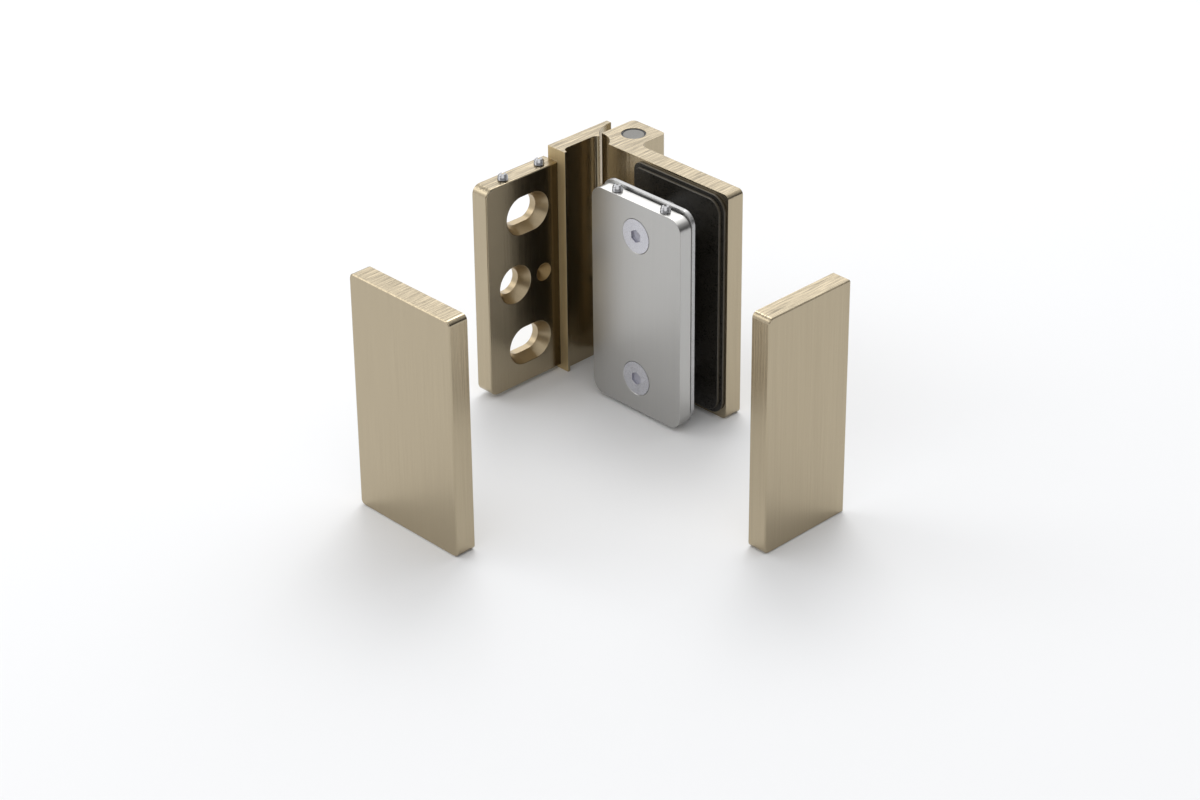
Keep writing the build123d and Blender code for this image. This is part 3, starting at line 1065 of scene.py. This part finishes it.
class HINGE_OT_lock_screw(bpy.types.Operator):
    """Make the grub screw that locks the pin"""
    bl_idname = "hinge.lock_screw"
    bl_label = "Pin lock screw"

    def execute(self, context):
        middle, size = node_size("pin_lock_screw")
        radius, length = size.x / 2, size.y
        pitch = settings().hinge_threads.jack_pitch
        screw = threaded_rod("pin_lock_screw_threaded", radius, length, pitch)
        turn_down(screw, length, radius, LOCK_BEVEL)
        cut_with(screw, hexagon_tool(LOCK_SOCKET_WIDTH, LOCK_SOCKET_DEPTH, length))
        turn_into_place(screw, (-math.pi / 2, 0, 0), middle - Vector((0, length / 2, 0)))
        place(smooth(screw), "pin_lock_screw", screw_steel())
        return {"FINISHED"}


# Patches in a metre of the floor, their detail, and how far they differ from its colour.
FLOOR_MOTTLE, FLOOR_DETAIL, FLOOR_FINENESS, FLOOR_SPAN = 6, 3, 0.5, 0.01
FLOOR_ROUGHNESS, FLOOR_SPECULAR = 0.85, 0.1
# Width of the floor in metres, and its gap under the lowest piece.
FLOOR_WIDTH, FLOOR_GAP = 12.0, 0.02 * MM

# The camera's sensor in millimetres, its shift in widths of the picture, and how far it sees in metres.
SENSOR_WIDTH = 36
SHIFT_X, SHIFT_Y = -0.0480, -0.0397
VIEW_REACH = 20

# Width of a softbox, and place and target of each, in metres.
SOFTBOX_WIDTH = 0.5
BACK_SOFTBOX = ((-0.35, 0.45, 1.0), (0.05, 0.0, 0.0))
LEFT_SOFTBOX = ((-0.55, -0.45, 0.55), (-0.15, -0.2, 0.0))

# Azimuth and elevation in degrees, and brightness, of each wide light.
WIDE_LIGHTS = (
    (135, 12, 0.48),
    (225, 12, 0.80),
    (90, 12, 0.14),
    (135, 45, 0.73),
    (225, 45, 0.25),
    (90, 45, 0.53),
    (315, 45, 0.81),
)
# Cosine of the angle from its middle at which a wide light has faded out.
LIGHT_EDGE = 0.5


def floor_material():
    """Pale floor with a trace of mottle."""
    colour = settings().hinge_colours.floor
    material = bpy.data.materials.new("Pale floor")
    material.use_nodes = True
    graph = ShaderGraph(material.node_tree)
    shader = material.node_tree.nodes["Principled BSDF"].inputs
    here = graph.add("ShaderNodeTexCoord").outputs["Object"]
    tone = graph.noise(here, FLOOR_MOTTLE, FLOOR_DETAIL, FLOOR_FINENESS)
    tint = graph.mix_colour(tone, shaded(colour, 1 - FLOOR_SPAN), shaded(colour, 1 + FLOOR_SPAN))
    graph.link(tint, shader["Base Color"])
    shader["Roughness"].default_value = FLOOR_ROUGHNESS
    shader["Specular IOR Level"].default_value = FLOOR_SPECULAR
    return material


def add_camera(studio):
    """Camera at the photograph's viewing angle."""
    camera = bpy.data.objects.new("camera", bpy.data.cameras.new("camera"))
    bpy.context.scene.collection.objects.link(camera)
    camera.location = studio.camera_place
    camera.rotation_euler = (math.pi / 2 - studio.camera_drop, 0, studio.camera_turn)
    camera.data.lens = studio.lens
    camera.data.sensor_width = SENSOR_WIDTH
    camera.data.shift_x = SHIFT_X
    camera.data.shift_y = SHIFT_Y
    camera.data.clip_end = VIEW_REACH
    bpy.context.scene.camera = camera


def add_softbox(name, spot, target, power):
    """Square area light that faces a point."""
    light = bpy.data.lights.new(name, "AREA")
    light.size = SOFTBOX_WIDTH
    light.energy = power
    softbox = bpy.data.objects.new(name, light)
    bpy.context.scene.collection.objects.link(softbox)
    softbox.location = spot
    aim = Vector(target) - Vector(spot)
    softbox.rotation_euler = aim.to_track_quat("-Z", "Y").to_euler()


def wide_light(graph, direction, azimuth, elevation, brightness):
    """Brightness of one wide light: full at its middle, and fading all round it."""
    turn, rise = math.radians(azimuth), math.radians(elevation)
    towards = graph.add("ShaderNodeVectorMath", operation="DOT_PRODUCT")
    graph.link(direction, towards.inputs[0])
    towards.inputs[1].default_value = (
        math.cos(turn) * math.cos(rise), math.sin(turn) * math.cos(rise), math.sin(rise)
    )
    return graph.remap(towards.outputs["Value"], LIGHT_EDGE, 1.0, 0.0, brightness)


def make_world(studio):
    """Surroundings like a studio: wide soft lights, most of them behind the hinge and to its left."""
    world = bpy.data.worlds.new("Studio")
    bpy.context.scene.world = world
    world.use_nodes = True
    graph = ShaderGraph(world.node_tree)
    background = world.node_tree.nodes["Background"].inputs
    background["Color"].default_value = (1, 1, 1, 1)
    direction = graph.add("ShaderNodeTexCoord").outputs["Generated"]
    total, *others = (
        wide_light(graph, direction, azimuth, elevation, brightness * studio.light)
        for azimuth, elevation, brightness in WIDE_LIGHTS
    )
    for light in others:
        total = graph.math("ADD", light, total)
    graph.link(total, background["Strength"])


class HINGE_OT_stage(bpy.types.Operator):
    """Set up the floor, the camera and the light"""
    bl_idname = "hinge.stage"
    bl_label = "Stage"

    def execute(self, context):
        studio = settings().hinge_studio
        low, _ = cad_box
        deselect()
        bpy.ops.mesh.primitive_plane_add(size=FLOOR_WIDTH, location=(0, 0, low.z - FLOOR_GAP))
        floor = settle(added("floor"))
        floor.data.materials.append(floor_material())

        add_camera(studio)
        add_softbox("back_softbox", *BACK_SOFTBOX, studio.back_power)
        add_softbox("left_softbox", *LEFT_SOFTBOX, studio.left_power)
        make_world(studio)
        context.scene.view_settings.view_transform = "Standard"
        return {"FINISHED"}


class HINGE_PT_panel(bpy.types.Panel):
    """Lists the steps that finish the hinge, and their sizes and colours"""
    bl_idname = "HINGE_PT_panel"
    bl_label = "Glass door hinge"
    bl_space_type = "VIEW_3D"
    bl_region_type = "UI"
    bl_category = "Hinge"

    def draw(self, context):
        for operator in OPERATORS:
            self.layout.operator(operator.bl_idname)
        for group, name in GROUPS.items():
            box = self.layout.box()
            for label in group.__annotations__:
                box.prop(getattr(context.scene, name), label)


OPERATORS = (
    HINGE_OT_leaves,
    HINGE_OT_covers,
    HINGE_OT_clamp_plate,
    HINGE_OT_rubbers,
    HINGE_OT_pin,
    HINGE_OT_sleeves,
    HINGE_OT_jack_screws,
    HINGE_OT_clamp_bolts,
    HINGE_OT_lock_screw,
    HINGE_OT_stage,
)
GROUPS = {
    HingeEdges: "hinge_edges",
    HingeThreads: "hinge_threads",
    HingeColours: "hinge_colours",
    HingeStudio: "hinge_studio",
}


def register():
    for group, name in GROUPS.items():
        bpy.utils.register_class(group)
        setattr(bpy.types.Scene, name, bpy.props.PointerProperty(type=group))
    for operator in OPERATORS:
        bpy.utils.register_class(operator)
    bpy.utils.register_class(HINGE_PT_panel)


def unregister():
    bpy.utils.unregister_class(HINGE_PT_panel)
    for operator in reversed(OPERATORS):
        bpy.utils.unregister_class(operator)
    for group, name in GROUPS.items():
        delattr(bpy.types.Scene, name)
        bpy.utils.unregister_class(group)


def main():
    register()
    for operator in OPERATORS:
        group, name = operator.bl_idname.split(".")
        getattr(getattr(bpy.ops, group), name)()


if __name__ == "__main__":
    main()
